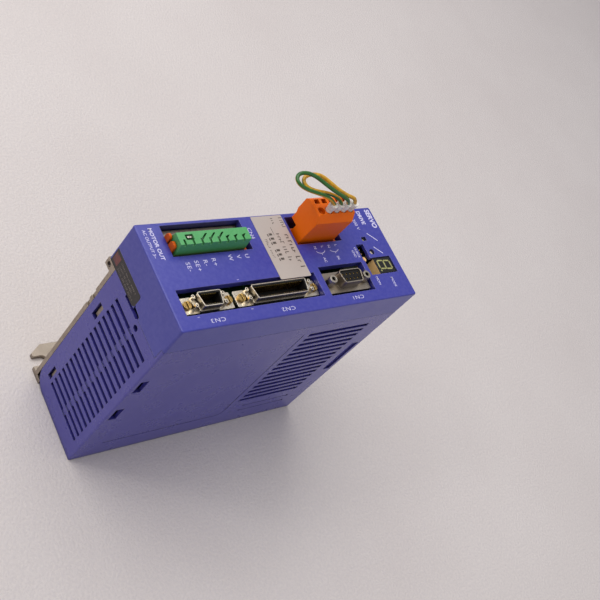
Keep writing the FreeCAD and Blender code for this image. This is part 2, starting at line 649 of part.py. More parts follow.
def serial_insulator():
    cx, cy = SERIAL_AT
    face = d_block(cx, cy, 7.6, 3.4, 1.3, 1.15, SERIAL_FLANGE - 0.5, SERIAL_RIM - 0.7)
    rear = box(cx - 5.2, cx + 5.2, cy - 9.5, cy + 9.5, FRONT_BOARD_TOP, SERIAL_FLANGE)
    tools = [rod(0.6, (x, y, SERIAL_RIM - 6.0), (x, y, SERIAL_RIM + 1)) for x, y in serial_holes()]
    return cut(fuse([face, rear]), tools)


def serial_contacts():
    return [rod(0.5, (x, y, SERIAL_RIM - 6.0), (x, y, SERIAL_RIM - 1.0)) for x, y in serial_holes()]


def serial_jackscrews():
    """Two hexagonal jackscrews through the flange, threaded for the mating plug's screws."""
    cx, cy = SERIAL_AT
    z = SERIAL_FLANGE + 0.8
    screws = []
    for side in (-1, 1):
        y = cy + side * JACKSCREW_REACH
        head = hexagon(4.75, (cx, y, z), (cx, y, z + 4.8))
        head = head.common(cone(2.9, 2.3, (cx, y, z), (cx, y, z + 4.8)))
        shank = rod(1.5, (cx, y, FRONT_BOARD_TOP), (cx, y, z + 1))
        screws.append(fuse([head, shank]).cut(rod(1.25, (cx, y, z + 0.6), (cx, y, z + 7))))
    return screws


PORT_X = 44.75
PORT_FLANGE = 133.2
PORT_RIM = 139.4
PORT_PITCH = 1.27
PORT_50 = dict(y=65.8, low=39.7, high=93.5, screws=(43.0, 90.8), half=18.0, contacts=25,
               latches=(45.4, 86.4))
PORT_14 = dict(y=22.3, low=7.0, high=37.5, screws=(10.6, 34.9), half=7.0, contacts=7,
               latches=(13.2, 30.6))


def port_shell(port):
    """A signal port's flange, its upright metal shroud and a latch block with two eyes at each end."""
    z = PORT_FLANGE
    flange = rounded(box(PORT_X - 4.45, PORT_X + 4.45, port["low"], port["high"], z, z + 0.8), 2, 0.8)
    outer = d_block(PORT_X, port["y"], port["half"], 4.0, 1.5, 0.9, z, PORT_RIM)
    foot = d_block(PORT_X, port["y"], port["half"] + 0.5, 4.4, 1.5, 1.0, z, z + 2.2)
    inner = d_block(PORT_X, port["y"], port["half"] - 0.45, 3.55, 1.4, 0.6, z - 1, PORT_RIM + 1)
    blocks = []
    holes = [rod(1.3, (PORT_X, y, z - 1), (PORT_X, y, z + 2)) for y in port["screws"]]
    for y in port["latches"]:
        block = box(PORT_X - 3.9, PORT_X + 2.9, y, y + 1.7, z, z + 4.4)
        block = block.cut(box(PORT_X - 1.6, PORT_X + 0.6, y - 1, y + 3, z + 2.8, z + 5))
        blocks.append(rounded(block, 2, 0.8))
        for x in (PORT_X - 3.0, PORT_X + 2.0):
            holes.append(rod(0.4, (x, y + 0.85, z + 3.2), (x, y + 0.85, z + 5)))
    return cut(fuse([flange, outer, foot] + blocks), [inner] + holes)


def port_insert(port):
    """The dark moulding inside the shroud: a base on the board and a wall around the mating cavity."""
    y, half = port["y"], port["half"]
    base = box(PORT_X - 4.2, PORT_X + 4.2, y - half - 0.6, y + half + 0.6, FRONT_BOARD_TOP, PORT_FLANGE)
    wall = d_block(PORT_X, y, half - 0.5, 3.5, 1.4, 0.6, PORT_FLANGE - 0.5, PORT_RIM - 0.4)
    cavity = d_block(PORT_X, y, half - 1.2, 2.8, 1.1, 0.4, PORT_FLANGE - 1.0, PORT_RIM + 1)
    return cut(fuse([base, wall]), [cavity])


def port_contacts(port):
    """Two rows of flat contacts on the cavity's long walls."""
    contacts = []
    for side in (-1, 1):
        for i in range(port["contacts"]):
            y = port["y"] + (i - (port["contacts"] - 1) / 2) * PORT_PITCH
            x0, x1 = sorted((PORT_X + side * 2.8, PORT_X + side * 2.5))
            contacts.append(box(x0, x1, y - 0.25, y + 0.25, PORT_FLANGE - 1.0, PORT_RIM - 0.8))
    return contacts


def port_screws():
    """The slotted screws that hold both ports' flanges."""
    z = PORT_FLANGE + 0.8
    screws = []
    for y in PORT_50["screws"] + PORT_14["screws"]:
        head = rod(2.2, (PORT_X, y, z), (PORT_X, y, z + 1.4))
        slot = box(PORT_X - 3, PORT_X + 3, y - 0.4, y + 0.4, z + 0.6, z + 2)
        shank = rod(1.2, (PORT_X, y, FRONT_BOARD_TOP), (PORT_X, y, z + 0.5))
        screws.append(fuse([head, shank]).cut(slot))
    return screws


def front_board():
    """The board behind the bezel, with its arm to the status lamp."""
    main = box(21.8, 56.5, 4.0, 156.0, FRONT_BOARD_Z, FRONT_BOARD_TOP)
    arm = box(12.0, 23.0, 128.0, 156.0, FRONT_BOARD_Z, FRONT_BOARD_TOP)
    return cut(fuse([main, arm]), [rod(1.3, (x, y, FRONT_BOARD_Z - 1), (x, y, FRONT_BOARD_TOP + 1))
                                   for x, y in BEZEL_SCREWS])


def front_board_screws():
    """Screws from behind the board into the bezel's bosses."""
    return [fuse([rod(2.2, (x, y, FRONT_BOARD_Z - 1.5), (x, y, FRONT_BOARD_Z)),
                  rod(0.88, (x, y, FRONT_BOARD_Z - 0.5), (x, y, FRONT_BOARD_TOP + 4.0))])
            for x, y in BEZEL_SCREWS]


# ---- display and small controls ----
DISPLAY = dict(x0=33.4, x1=43.1, y0=142.0, y1=154.6, top=136.5)


def display_block(z0, z1):
    return box(DISPLAY["x0"], DISPLAY["x1"], DISPLAY["y0"], DISPLAY["y1"], z0, z1)


def display_body():
    return display_block(FRONT_BOARD_TOP, DISPLAY["top"] - 0.5)


def display_face():
    return display_block(DISPLAY["top"] - 0.5, DISPLAY["top"])


def display_segments():
    """Seven slanted bars and the point, just proud of the face."""
    slant, tall, wide, bar, gap = 0.09, 9.2, 5.2, 0.9, 0.12
    left = DISPLAY["x0"] + 1.5
    low = (DISPLAY["y0"] + DISPLAY["y1"] - tall) / 2
    top = DISPLAY["top"]
    grid_x = (left, left + wide)
    grid_y = (low, low + tall / 2, low + tall)
    level = [((grid_x[0], y), (grid_x[1], y)) for y in grid_y]
    upright = [((x, grid_y[i]), (x, grid_y[i + 1])) for x in grid_x for i in (0, 1)]
    bars = []
    for (x0, y0), (x1, y1) in level + upright:
        along = Vector(x1 - x0, y1 - y0, 0).normalize()
        across = Vector(-along.y, along.x, 0) * (bar / 2)
        tip = along * (bar / 2)
        a = Vector(x0, y0, 0) + along * gap
        b = Vector(x1, y1, 0) - along * gap
        ring = [a, a + tip + across, b - tip + across, b, b - tip - across, a + tip - across]
        bars.append(prism([(p.x + slant * (p.y - low), p.y, top) for p in ring], (0, 0, 0.06)))
    point = (grid_x[1] + 1.3, low)
    return bars + [rod(0.55, point + (top,), point + (top + 0.06,))]


def status_lamp():
    x0, x1, y0, y1 = LAMP_WINDOW
    lens = box(x0 + 0.2, x1 - 0.2, y0 + 0.2, y1 - 0.2, FRONT_BOARD_TOP, DEPTH - 1.6)
    return lens.makeFillet(0.4, [e for e in lens.Edges if all(v.Z > DEPTH - 1.7 for v in e.Vertexes)])


def monitor_header():
    """The base strip of the monitor connector, under its window."""
    strip = box(24.6, 30.4, 134.4, 139.0, FRONT_BOARD_TOP, FRONT_BOARD_TOP + 2.5)
    return cut(strip, [rod(0.42, (x, 136.7, FRONT_BOARD_TOP - 1), (x, 136.7, 140)) for x in MONITOR_XS])


MONITOR_XS = (26.2, 28.8)


def monitor_pins():
    return [rod(0.4, (x, 136.7, FRONT_BOARD_TOP), (x, 136.7, DEPTH - 1.8)) for x in MONITOR_XS]


def trim_potentiometer():
    """A small round adjuster beside the monitor pins, with a screwdriver slot."""
    body = rod(1.5, (32.3, 136.7, FRONT_BOARD_TOP), (32.3, 136.7, DEPTH - 2.0))
    return body.cut(box(30, 35, 136.45, 136.95, DEPTH - 2.6, DEPTH))


def button_switch():
    x, y = BUTTON_AT
    z = FRONT_BOARD_TOP
    base = rounded(box(x - 2.3, x + 2.3, y - 2.3, y + 2.3, z, z + 3.3), 2, 0.4)
    return base.cut(rod(1.15, (x, y, z + 0.6), (x, y, z + 5)))


def button_cap():
    """The small push button, recessed in its round hole."""
    x, y = BUTTON_AT
    z = FRONT_BOARD_TOP
    stem = rod(0.85, (x, y, z + 1.4), (x, y, z + 5))
    cap = rod(1.4, (x, y, z + 4.2), (x, y, DEPTH - 1.2))
    cap = cap.makeFillet(0.3, [e for e in cap.Edges if all(v.Z > DEPTH - 1.3 for v in e.Vertexes)])
    return fuse([stem, cap])


def main():
    os.makedirs("parts", exist_ok=True)
    routes = [(wire_path(points), points) for points in (WIRE_A, WIRE_B)]
    jumper_a, jumper_b = (wire_tube(path, points, WIRE_R) for path, points in routes)
    mouths = [wire_tube(path, points, WIRE_R + 0.05) for path, points in routes]
    pieces = dict(
        back_plate=back_plate(), side_wall=side_wall(), earth_lug=earth_lug(),
        main_housing=main_housing(), front_bezel=front_bezel(), port_screws=port_screws(),
        caution_label=caution_label(), nameplate_label=nameplate_label(), side_wall_screws=side_wall_screws(),
        thermal_pad=thermal_pad(), power_module=power_module(), module_leads=module_leads(),
        module_screws=module_screws(), rectifier_bridge=rectifier_bridge(), power_board=power_board(),
        control_board=control_board(), wall_spacers=wall_spacers(), board_posts=board_posts(),
        board_screws=board_screws(), bus_capacitors=bus_capacitors(), transformer_core=transformer_core(),
        transformer_winding=transformer_winding(), inrush_relay=inrush_relay(), line_choke=line_choke(),
        line_fuse=line_fuse(), control_chips=control_chips(), board_link=board_link(),
        motor_header=motor_header(), motor_header_pins=header_pins(MOTOR_PLUG),
        motor_plug_body=motor_plug_body(),
        motor_plug_clamps=motor_plug_clamps(), power_header=power_header(),
        power_header_pins=header_pins(POWER_PLUG), power_plug_body=power_plug_body(),
        power_plug_clamps=power_plug_clamps(), ferrule_collars=ferrule_collars(mouths),
        ferrule_barrels=ferrule_barrels(), jumper_wire_a=jumper_a, jumper_wire_b=jumper_b,
        serial_shell=serial_shell(),
        serial_insulator=serial_insulator(), serial_contacts=serial_contacts(),
        serial_jackscrews=serial_jackscrews(), front_board=front_board(),
        front_board_screws=front_board_screws(), display_body=display_body(), display_face=display_face(),
        display_segments=display_segments(), status_lamp=status_lamp(), monitor_header=monitor_header(),
        monitor_pins=monitor_pins(), trim_potentiometer=trim_potentiometer(), button_switch=button_switch(),
        button_cap=button_cap())
    for name, port in (("port_50", PORT_50), ("port_14", PORT_14)):
        pieces[name + "_shell"] = port_shell(port)
        pieces[name + "_insert"] = port_insert(port)
        pieces[name + "_contacts"] = port_contacts(port)
    for name, shape in pieces.items():
        save(name, shape)
    print(len(pieces), "nodes")


main()
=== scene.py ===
import math
import random

import bmesh
import bpy
from mathutils import Matrix, Vector


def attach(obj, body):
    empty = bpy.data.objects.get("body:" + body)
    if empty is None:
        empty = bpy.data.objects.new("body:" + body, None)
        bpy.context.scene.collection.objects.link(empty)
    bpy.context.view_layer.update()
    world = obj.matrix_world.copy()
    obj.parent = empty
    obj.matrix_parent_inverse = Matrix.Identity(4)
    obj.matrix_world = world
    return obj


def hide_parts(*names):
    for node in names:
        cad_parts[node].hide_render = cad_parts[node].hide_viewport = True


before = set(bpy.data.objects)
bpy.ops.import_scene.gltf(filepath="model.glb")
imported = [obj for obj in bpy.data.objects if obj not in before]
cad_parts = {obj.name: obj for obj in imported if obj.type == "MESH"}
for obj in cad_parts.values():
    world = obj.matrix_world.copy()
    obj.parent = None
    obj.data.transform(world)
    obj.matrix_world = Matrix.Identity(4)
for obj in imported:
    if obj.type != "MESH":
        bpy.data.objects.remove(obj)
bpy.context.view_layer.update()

# Places on the drive are in the drawing's millimetres, and so are these.
ORIGIN = Vector((-24.0, -80.0, 0.0))    # the bezel's lower left corner, on the mounting plane
FRONT = 137.0                           # the bezel's face
LABEL_T = 0.15                          # the nameplate's film, which lies on the bezel's face
PRINT_LIFT = 0.005                      # from a face up to the middle of its print
PRINT_T = 0.012                         # half of the print's thickness
CAUTION_PRINT_Y = 0.035                 # the caution label's face is at 0.05 and looks along -Y

# The camera's place is in metres. Its lens and sensor are in millimetres, as Blender takes them.
CAMERA_PLACE = (0.18841, -0.33656, 0.46724)
CAMERA_FORWARD = (-0.325, 0.671, -0.666)
CAMERA_RIGHT = (0.428, 0.7325, 0.5295)
FOCAL_LENGTH = 59.42
SENSOR_WIDTH = 36.0
FRAME_SHIFT = -0.0017
NEAR_CLIP = 0.01

# The wires, materials and lights are in metres.
WIRE_R = 0.00105
WIRE_TWIST = 0.35       # how far the stripes turn round a wire from end to end
STRIPE_BLUR = 0.02

HOLLOW_SAMPLES = 6
BEVEL_SAMPLES = 4
NOISE_ROUGHNESS = 0.55
COLLAR_RIBS = 620.0     # rings to a metre on the ferrules' collars
SLEEVE_STRIPE_Z = 0.046

FLOOR_HALF = 3.0
WORLD_TINT = (0.80, 0.81, 0.88, 1)
WORLD_STRENGTH = 0.46


def at(x, y, z):
    """Drawing millimetres to the frame's metres."""
    return (Vector((x, y, z)) + ORIGIN) / 1000.0


def new_object(name, data):
    obj = bpy.data.objects.new(name, data)
    bpy.context.scene.collection.objects.link(obj)
    return obj


# ---- camera ----
def make_camera():
    data = bpy.data.cameras.new("camera")
    data.lens = FOCAL_LENGTH
    data.sensor_width = SENSOR_WIDTH
    data.shift_y = FRAME_SHIFT
    data.clip_start = NEAR_CLIP
    cam = new_object("camera", data)
    forward = Vector(CAMERA_FORWARD).normalized()
    right = Vector(CAMERA_RIGHT)
    right = (right - forward * right.dot(forward)).normalized()
    up = right.cross(forward)
    turn = Matrix((right, up, -forward)).transposed().to_4x4()
    cam.matrix_world = Matrix.Translation(CAMERA_PLACE) @ turn
    bpy.context.scene.camera = cam


make_camera()


# ---- shader helpers ----
def srgb(r, g, b):
    """Display values 0 to 255 to the linear colour that a shader takes."""
    def one(v):
        v /= 255.0
        return v / 12.92 if v <= 0.04045 else ((v + 0.055) / 1.055) ** 2.4
    return (one(r), one(g), one(b), 1.0)


def scaled(colour, factor):
    """A lighter or darker colour of the same hue."""
    return tuple(min(1.0, c * factor) for c in colour[:3]) + (1.0,)


class Shader:
    """One material's node tree, with short calls for the nodes used here."""

    def __init__(self, name, roughness, metallic=0.0):
        self.mat = bpy.data.materials.new(name)
        self.mat.use_nodes = True
        self.tree = self.mat.node_tree
        self.surface = self.tree.nodes["Principled BSDF"].inputs
        self.surface["Roughness"].default_value = roughness
        self.surface["Metallic"].default_value = metallic
        self.coords = self.node("TexCoord").outputs["Object"]

    def feed(self, value, socket):
        """Link another node's output to a socket, or set the socket to a plain value."""
        if isinstance(value, bpy.types.NodeSocket):
            self.tree.links.new(value, socket)
        else:
            socket.default_value = value

    def node(self, kind, feeds=None, **settings):
        """A new node with its settings, and its inputs fed by name or number."""
        made = self.tree.nodes.new("ShaderNode" + kind)
        for key, value in settings.items():
            setattr(made, key, value)
        for key, value in (feeds or {}).items():
            self.feed(value, made.inputs[key])
        return made

    def noise(self, scale, detail, stretch=(1, 1, 1)):
        mapping = self.node("Mapping", {"Scale": stretch, "Vector": self.coords})
        return self.node("TexNoise", {
            "Scale": scale, "Detail": detail, "Roughness": NOISE_ROUGHNESS,
            "Vector": mapping.outputs["Vector"]}).outputs["Fac"]

    def cells(self, scale, feature):
        return self.node("TexVoronoi", {"Scale": scale, "Vector": self.coords},
                         feature=feature).outputs["Distance"]

    def ramp(self, value, low, high, to=(0.0, 1.0)):
        """Map low..high to the two values of to, and hold them outside it."""
        return self.node("MapRange", {
            "Value": value, "From Min": low, "From Max": high,
            "To Min": to[0], "To Max": to[1]}, clamp=True).outputs["Result"]

    def math(self, operation, a, b=0.0):
        return self.node("Math", {0: a, 1: b}, operation=operation).outputs[0]

    def mix(self, factor, a, b):
        """Colour a where the factor is 0 and colour b where it is 1."""
        return self.node("Mix", {0: factor, 6: a, 7: b}, data_type="RGBA").outputs[2]

    def z_coord(self):
        return self.node("SeparateXYZ", {0: self.coords}).outputs["Z"]

    def edges(self, radius):
        """0 on flat faces and 1 along edges, and the normal rounded over by the radius."""
        rounded = self.node("Bevel", {"Radius": radius}, samples=BEVEL_SAMPLES).outputs[0]
        flat = self.node("NewGeometry").outputs["True Normal"]
        dot = self.node("VectorMath", {0: rounded, 1: flat}, operation="DOT_PRODUCT")
        bent = self.math("SUBTRACT", 1.0, dot.outputs["Value"])
        return self.ramp(bent, 0.02, 0.25), rounded

    def hollows(self, reach, low, high, most):
        """0 in the open, rising to most deep in corners and recesses."""
        shade = self.node("AmbientOcclusion", {"Distance": reach}, samples=HOLLOW_SAMPLES)
        return self.ramp(shade.outputs["AO"], low, high, to=(most, 0.0))

    def bump(self, height, strength, distance, normal=None):
        feeds = {"Strength": strength, "Distance": distance, "Height": height}
        if normal is not None:
            feeds["Normal"] = normal
        self.feed(self.node("Bump", feeds).outputs[0], self.surface["Normal"])

    def color(self, value):
        self.feed(value, self.surface["Base Color"])

    def roughness(self, value):
        self.feed(value, self.surface["Roughness"])


# ---- jumper wires ----
def wire_insulation(name, turn, share):
    """Green and yellow insulation: two long stripes that turn slowly round the wire."""
    s = Shader(name, 0.34)
    uv = s.node("SeparateXYZ", {0: s.node("TexCoord").outputs["UV"]}).outputs
    wound = s.math("ADD", s.math("MULTIPLY", uv["X"], WIRE_TWIST), uv["Y"])
    phase = s.math("FRACT", s.math("ADD", wound, turn))
    from_middle = s.math("ABSOLUTE", s.math("SUBTRACT", phase, 0.5))
    stripe = s.ramp(from_middle, share - STRIPE_BLUR, share + STRIPE_BLUR)
    cloud = s.ramp(s.noise(500, 4), 0.35, 0.7)
    greens = s.mix(cloud, srgb(46, 108, 34), srgb(32, 86, 28))
    yellows = s.mix(cloud, srgb(222, 172, 34), srgb(192, 134, 22))
    s.color(s.mix(stripe, greens, yellows))
    s.surface["Coat Weight"].default_value = 0.25
    s.bump(s.noise(1600, 3), 0.2, 0.00004)
    return s.mat


ROUTE_A = [(13.5, 103.38, 163.2), (12.6, 100.2, 165.9), (11.3, 95.5, 167.7), (10.2, 89.3, 169.1),
           (8.6, 83.4, 169.9), (6.6, 79.7, 170.4), (4.4, 78.0, 170.9), (2.3, 77.9, 171.4),
           (0.5, 79.4, 171.9), (-0.4, 82.2, 172.3), (0.2, 86.4, 172.7), (3.0, 90.8, 172.6),
           (7.6, 95.4, 171.8), (11.0, 101.2, 170.2), (13.2, 107.0, 168.4), (13.8, 111.6, 166.0),
           (13.5, 113.54, 163.2)]
ROUTE_B = [(13.5, 108.46, 163.2), (13.2, 106.7, 165.3), (11.3, 103.9, 166.5), (9.6, 100.4, 166.9),
           (8.3, 96.4, 166.8), (7.3, 91.6, 166.9), (5.9, 87.6, 167.2), (4.0, 85.4, 167.7),
           (1.9, 84.9, 168.2), (-0.1, 86.2, 168.7), (-1.2, 89.2, 169.1), (-1.4, 93.6, 169.4),
           (0.0, 98.0, 169.6), (4.6, 101.8, 169.3), (9.0, 105.6, 168.8), (12.0, 111.0, 167.8),
           (13.2, 116.6, 166.6), (13.5, 118.62, 163.2)]


def wire(name, node, route, material):
    data = bpy.data.curves.new(name, "CURVE")
    data.dimensions = "3D"
    data.bevel_depth = WIRE_R
    data.bevel_resolution = 6
    data.resolution_u = 16
    data.use_fill_caps = True
    spline = data.splines.new("NURBS")
    spline.points.add(len(route) - 1)
    for point, where in zip(spline.points, route):
        point.co = (*at(*where), 1.0)
    spline.order_u = 3
    spline.use_endpoint_u = True
    data.materials.append(material)
    obj = new_object(name, data)
    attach(obj, "power_plug")
    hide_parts(node)


wire("jumper_a", "jumper_wire_a", ROUTE_A, wire_insulation("insulation_a", 0.1, 0.37))
wire("jumper_b", "jumper_wire_b", ROUTE_B, wire_insulation("insulation_b", 0.55, 0.12))


# ---- materials ----
def moulded(name, base, shade, edge, roughness, edge_wear_and_highlight, grain=2600, depth=0.00004, bevel=0.0004,
            cloudy=0.5, gloss=0.5, hollow_shade=0.45):
    """Moulded plastic: cloudy colour, fine grain, edges lightened partly by rubbed wear and partly
    as a painted highlight, and painted shade in the hollows.
    """
    s = Shader(name, roughness)
    s.surface["Specular IOR Level"].default_value = gloss
    cloud = s.ramp(s.noise(38, 5), 0.30, 0.72)
    fine = s.ramp(s.noise(520, 3), 0.35, 0.7)
    body = s.mix(s.math("MULTIPLY", cloud, cloudy), base, shade)
    body = s.mix(s.math("MULTIPLY", fine, 0.07), body, edge)
    # Edges lightened towards the edge colour: partly rubbed wear, partly a painted highlight along
    # the rounded edges.
    rub_and_highlight, rounded = s.edges(bevel)
    patchy = s.math("MULTIPLY", rub_and_highlight, s.ramp(s.noise(160, 4), 0.3, 0.62, to=(0.35, 1.0)))
    body = s.mix(s.math("MULTIPLY", patchy, edge_wear_and_highlight), body, edge)
    # Painted shade: corners, creases and recesses are darkened towards a deep shade colour.
    s.color(s.mix(s.hollows(0.004, 0.38, 0.92, hollow_shade), body, scaled(shade, 0.25)))
    s.roughness(s.ramp(s.noise(60, 4), 0.3, 0.7, to=(roughness - 0.02, roughness + 0.05)))
    s.bump(s.noise(grain, 2), 0.2, depth, rounded)
    return s.mat


def metal(name, base, shade, roughness, brush, scale, stain):
    """Sheet or turned metal: drawn lines, cloudy tarnish, edges lightened partly by rubbing and
    partly as a painted highlight, and painted shade in the hollows.
    """
    s = Shader(name, roughness, metallic=1.0)
    lines = s.noise(scale, 3, brush)
    cloud = s.ramp(s.noise(60, 6), 0.35, 0.7)
    body = s.mix(s.math("MULTIPLY", cloud, stain), base, shade)
    body = s.mix(s.ramp(lines, 0.3, 0.8, to=(0.0, 0.35)), body, shade)
    # Edges lightened: partly rubbed bright, partly a painted highlight.
    rub_and_highlight, rounded = s.edges(0.0003)
    body = s.mix(s.math("MULTIPLY", rub_and_highlight, 0.6), body, scaled(base, 1.6))
    # Painted shade: corners, creases and recesses are darkened nearly to black.
    s.color(s.mix(s.hollows(0.003, 0.25, 0.9, 0.75), body, scaled(shade, 0.12)))
    s.roughness(s.ramp(lines, 0.3, 0.7, to=(roughness - 0.06, roughness + 0.16)))
    s.bump(lines, 0.3, 0.00002, rounded)
    return s.mat


def collar_plastic():
    """The ferrules' milky collars, which let a little light through."""
    s = Shader("collar_plastic", 0.30)
    cloud = s.ramp(s.noise(300, 4), 0.35, 0.7)
    along = s.math("FRACT", s.math("MULTIPLY", s.z_coord(), COLLAR_RIBS))
    # Painted shade: darker rings where the grooves between the collars' ribs lie.
    groove_shade = s.math("SUBTRACT", 1.0, s.ramp(along, 0.0, 0.25, to=(0.75, 1.0)))
    body = s.mix(cloud, srgb(248, 244, 238), srgb(226, 220, 214))
    s.color(s.mix(groove_shade, body, srgb(196, 188, 184)))
    s.surface["Subsurface Weight"].default_value = 0.35
    s.surface["Subsurface Radius"].default_value = (0.0012, 0.0010, 0.0009)
    s.bump(cloud, 0.15, 0.00004)
    return s.mat


def circuit_board():
    """Solder resist with lighter copper tracks under it and tinned dots."""
    s = Shader("circuit_board", 0.28)
    tracks = s.ramp(s.cells(190.0, "DISTANCE_TO_EDGE"), 0.03, 0.06, to=(1.0, 0.0))
    tinned = s.ramp(s.cells(340.0, "F1"), 0.14, 0.18, to=(1.0, 0.0))
    body = s.mix(s.ramp(s.noise(70, 3), 0.35, 0.7), srgb(12, 30, 20), srgb(18, 44, 28))
    body = s.mix(s.math("MULTIPLY", tracks, 0.4), body, srgb(44, 84, 50))
    s.color(s.mix(s.math("MULTIPLY", tinned, 0.6), body, srgb(150, 146, 136)))
    s.bump(tracks, 0.3, 0.00004)
    return s.mat


def label_film(name, base, shade, roughness):
    """Printed film: even colour with faint streaks and stains."""
    s = Shader(name, roughness)
    fibres = s.noise(900, 3, (1, 8, 1))
    stain = s.ramp(s.noise(55, 5), 0.42, 0.72)
    body = s.mix(s.ramp(fibres, 0.3, 0.75, to=(0.0, 0.35)), base, shade)
    s.color(s.mix(s.math("MULTIPLY", stain, 0.3), body, shade))
    s.bump(fibres, 0.15, 0.00003)
    return s.mat


def ink(name, base, worn, cover):
    """Silkscreen ink, thin and rubbed in places."""
    s = Shader(name, 0.5)
    s.color(s.mix(s.ramp(s.noise(420, 5), cover, cover + 0.12), base, worn))
    s.bump(s.noise(1800, 2), 0.2, 0.00002)
    return s.mat


def unlit_lens():
    """An unlit display bar or lamp: pale, glossy plastic."""
    s = Shader("unlit_lens", 0.2)
    cloud = s.ramp(s.noise(500, 3), 0.3, 0.7)
    s.color(s.mix(cloud, srgb(178, 176, 112), srgb(140, 140, 84)))
    s.surface["Coat Weight"].default_value = 0.5
    return s.mat


def fuse_glass():
    """The fuse's tube, with a faint haze."""
    s = Shader("fuse_glass", 0.05)
    s.surface["Transmission Weight"].default_value = 0.6
    haze = s.ramp(s.noise(200, 3), 0.4, 0.7)
    s.color(s.mix(haze, srgb(226, 230, 230), srgb(200, 206, 206)))
    s.bump(s.noise(900, 2), 0.1, 0.00001)
    return s.mat


def capacitor_sleeve():
    """A capacitor's shrink sleeve, with a pale stripe along the can."""
    s = Shader("capacitor_sleeve", 0.22)
    from_stripe = s.math("ABSOLUTE", s.math("SUBTRACT", s.z_coord(), SLEEVE_STRIPE_Z))
    stripe = s.ramp(from_stripe, 0.0016, 0.0019, to=(1.0, 0.0))
    body = s.mix(s.ramp(s.noise(120, 3), 0.35, 0.7), srgb(24, 28, 44), srgb(34, 40, 62))
    s.color(s.mix(s.math("MULTIPLY", stripe, 0.7), body, srgb(190, 194, 204)))
    s.bump(s.noise(1500, 2), 0.15, 0.00003)
    return s.mat


# The bezel's lavender edges are partly rubbed wear and partly a painted highlight; its hollows get
# painted shade.
blue = moulded("blue_plastic", srgb(58, 61, 158), srgb(54, 55, 148), srgb(156, 152, 216),
               roughness=0.31, edge_wear_and_highlight=0.85, grain=1700, depth=0.00002, bevel=0.0005,
               cloudy=0.4, gloss=0.55, hollow_shade=0.8)
# The housing is the bezel's plastic; its redder, mauve tint paints in the warm reflection its sides
# catch, and its hollows get painted shade.
housing_with_painted_reflection = moulded("housing_plastic", srgb(66, 62, 156), srgb(61, 56, 146), srgb(138, 132, 192),
                roughness=0.27, edge_wear_and_highlight=0.55, grain=1700, depth=0.00002, bevel=0.0005,
                cloudy=0.4, gloss=0.65, hollow_shade=0.85)
green = moulded("green_plastic", srgb(82, 168, 98), srgb(60, 142, 76), srgb(160, 222, 170),
                roughness=0.36, edge_wear_and_highlight=0.5, grain=3000, depth=0.00003, bevel=0.0003)
orange = moulded("orange_plastic", srgb(255, 116, 0), srgb(238, 92, 0), srgb(255, 160, 48),
                 roughness=0.38, edge_wear_and_highlight=0.45, grain=3000, depth=0.00003, gloss=0.22)
deep_orange = moulded("header_orange", srgb(226, 98, 8), srgb(180, 66, 6), srgb(240, 150, 50),
                      roughness=0.40, edge_wear_and_highlight=0.5, grain=3000, depth=0.00003, bevel=0.0003,
                      cloudy=0.6, gloss=0.25)
black = moulded("black_plastic", srgb(26, 24, 23), srgb(17, 16, 16), srgb(84, 80, 76),
                roughness=0.5, edge_wear_and_highlight=0.35, depth=0.00003, bevel=0.0003, gloss=0.2)
tan = moulded("tan_plastic", srgb(255, 212, 140), srgb(244, 190, 116), srgb(255, 230, 184),
              roughness=0.42, edge_wear_and_highlight=0.4, hollow_shade=0.0)
cream = moulded("cream_plastic", srgb(226, 214, 190), srgb(204, 190, 162), srgb(244, 236, 220),
                roughness=0.42, edge_wear_and_highlight=0.4)
face_black = moulded("display_black", srgb(22, 22, 20), srgb(14, 14, 13), srgb(60, 60, 54),
                     roughness=0.16, edge_wear_and_highlight=0.3)
tape = moulded("yellow_tape", srgb(208, 168, 50), srgb(184, 140, 34), srgb(226, 196, 96),
               roughness=0.3, edge_wear_and_highlight=0.3)
ferrite = moulded("ferrite", srgb(58, 56, 54), srgb(42, 40, 40), srgb(96, 92, 88),
                  roughness=0.5, edge_wear_and_highlight=0.4)
pad = moulded("thermal_pad", srgb(150, 154, 160), srgb(132, 136, 142), srgb(176, 180, 184),
              roughness=0.6, edge_wear_and_highlight=0.3)

chassis = metal("chassis_metal", srgb(176, 164, 150), srgb(124, 112, 102),
                roughness=0.42, brush=(1, 26, 1), scale=420, stain=0.35)
steel = metal("plated_steel", srgb(226, 220, 208), srgb(160, 150, 136),
              roughness=0.26, brush=(1, 1, 1), scale=1500, stain=0.4)
nickel = metal("dull_nickel", srgb(252, 241, 220), srgb(190, 176, 150),
               roughness=0.26, brush=(1, 12, 1), scale=700, stain=0.5)
tarnished = metal("tarnished_nickel", srgb(206, 194, 176), srgb(128, 116, 104),
                  roughness=0.34, brush=(1, 9, 1), scale=800, stain=0.6)
bright = metal("bright_screws", srgb(232, 222, 202), srgb(110, 98, 86),
               roughness=0.34, brush=(1, 1, 1), scale=1100, stain=0.8)
gold = metal("contact_gold", srgb(222, 184, 104), srgb(150, 112, 50),
             roughness=0.25, brush=(1, 1, 1), scale=1500, stain=0.4)
brass = metal("screw_brass", srgb(222, 184, 112), srgb(112, 80, 40),
              roughness=0.24, brush=(1, 1, 1), scale=1800, stain=0.5)
copper = metal("enamelled_copper", srgb(176, 96, 52), srgb(110, 50, 26),
               roughness=0.3, brush=(1, 40, 40), scale=500, stain=0.4)

paper = label_film("nameplate_film", srgb(190, 179, 171), srgb(172, 160, 154), 0.42)
dark_film = label_film("caution_film", srgb(34, 30, 31), srgb(52, 46, 47), 0.5)
white_ink = ink("white_ink", srgb(206, 202, 234), srgb(146, 144, 202), 0.62)
grey_ink = ink("grey_ink", srgb(74, 66, 60), srgb(140, 130, 124), 0.58)
pale_ink = ink("pale_ink", srgb(140, 130, 122), srgb(76, 70, 70), 0.5)
red_ink = ink("red_ink", srgb(116, 58, 56), srgb(84, 54, 56), 0.5)

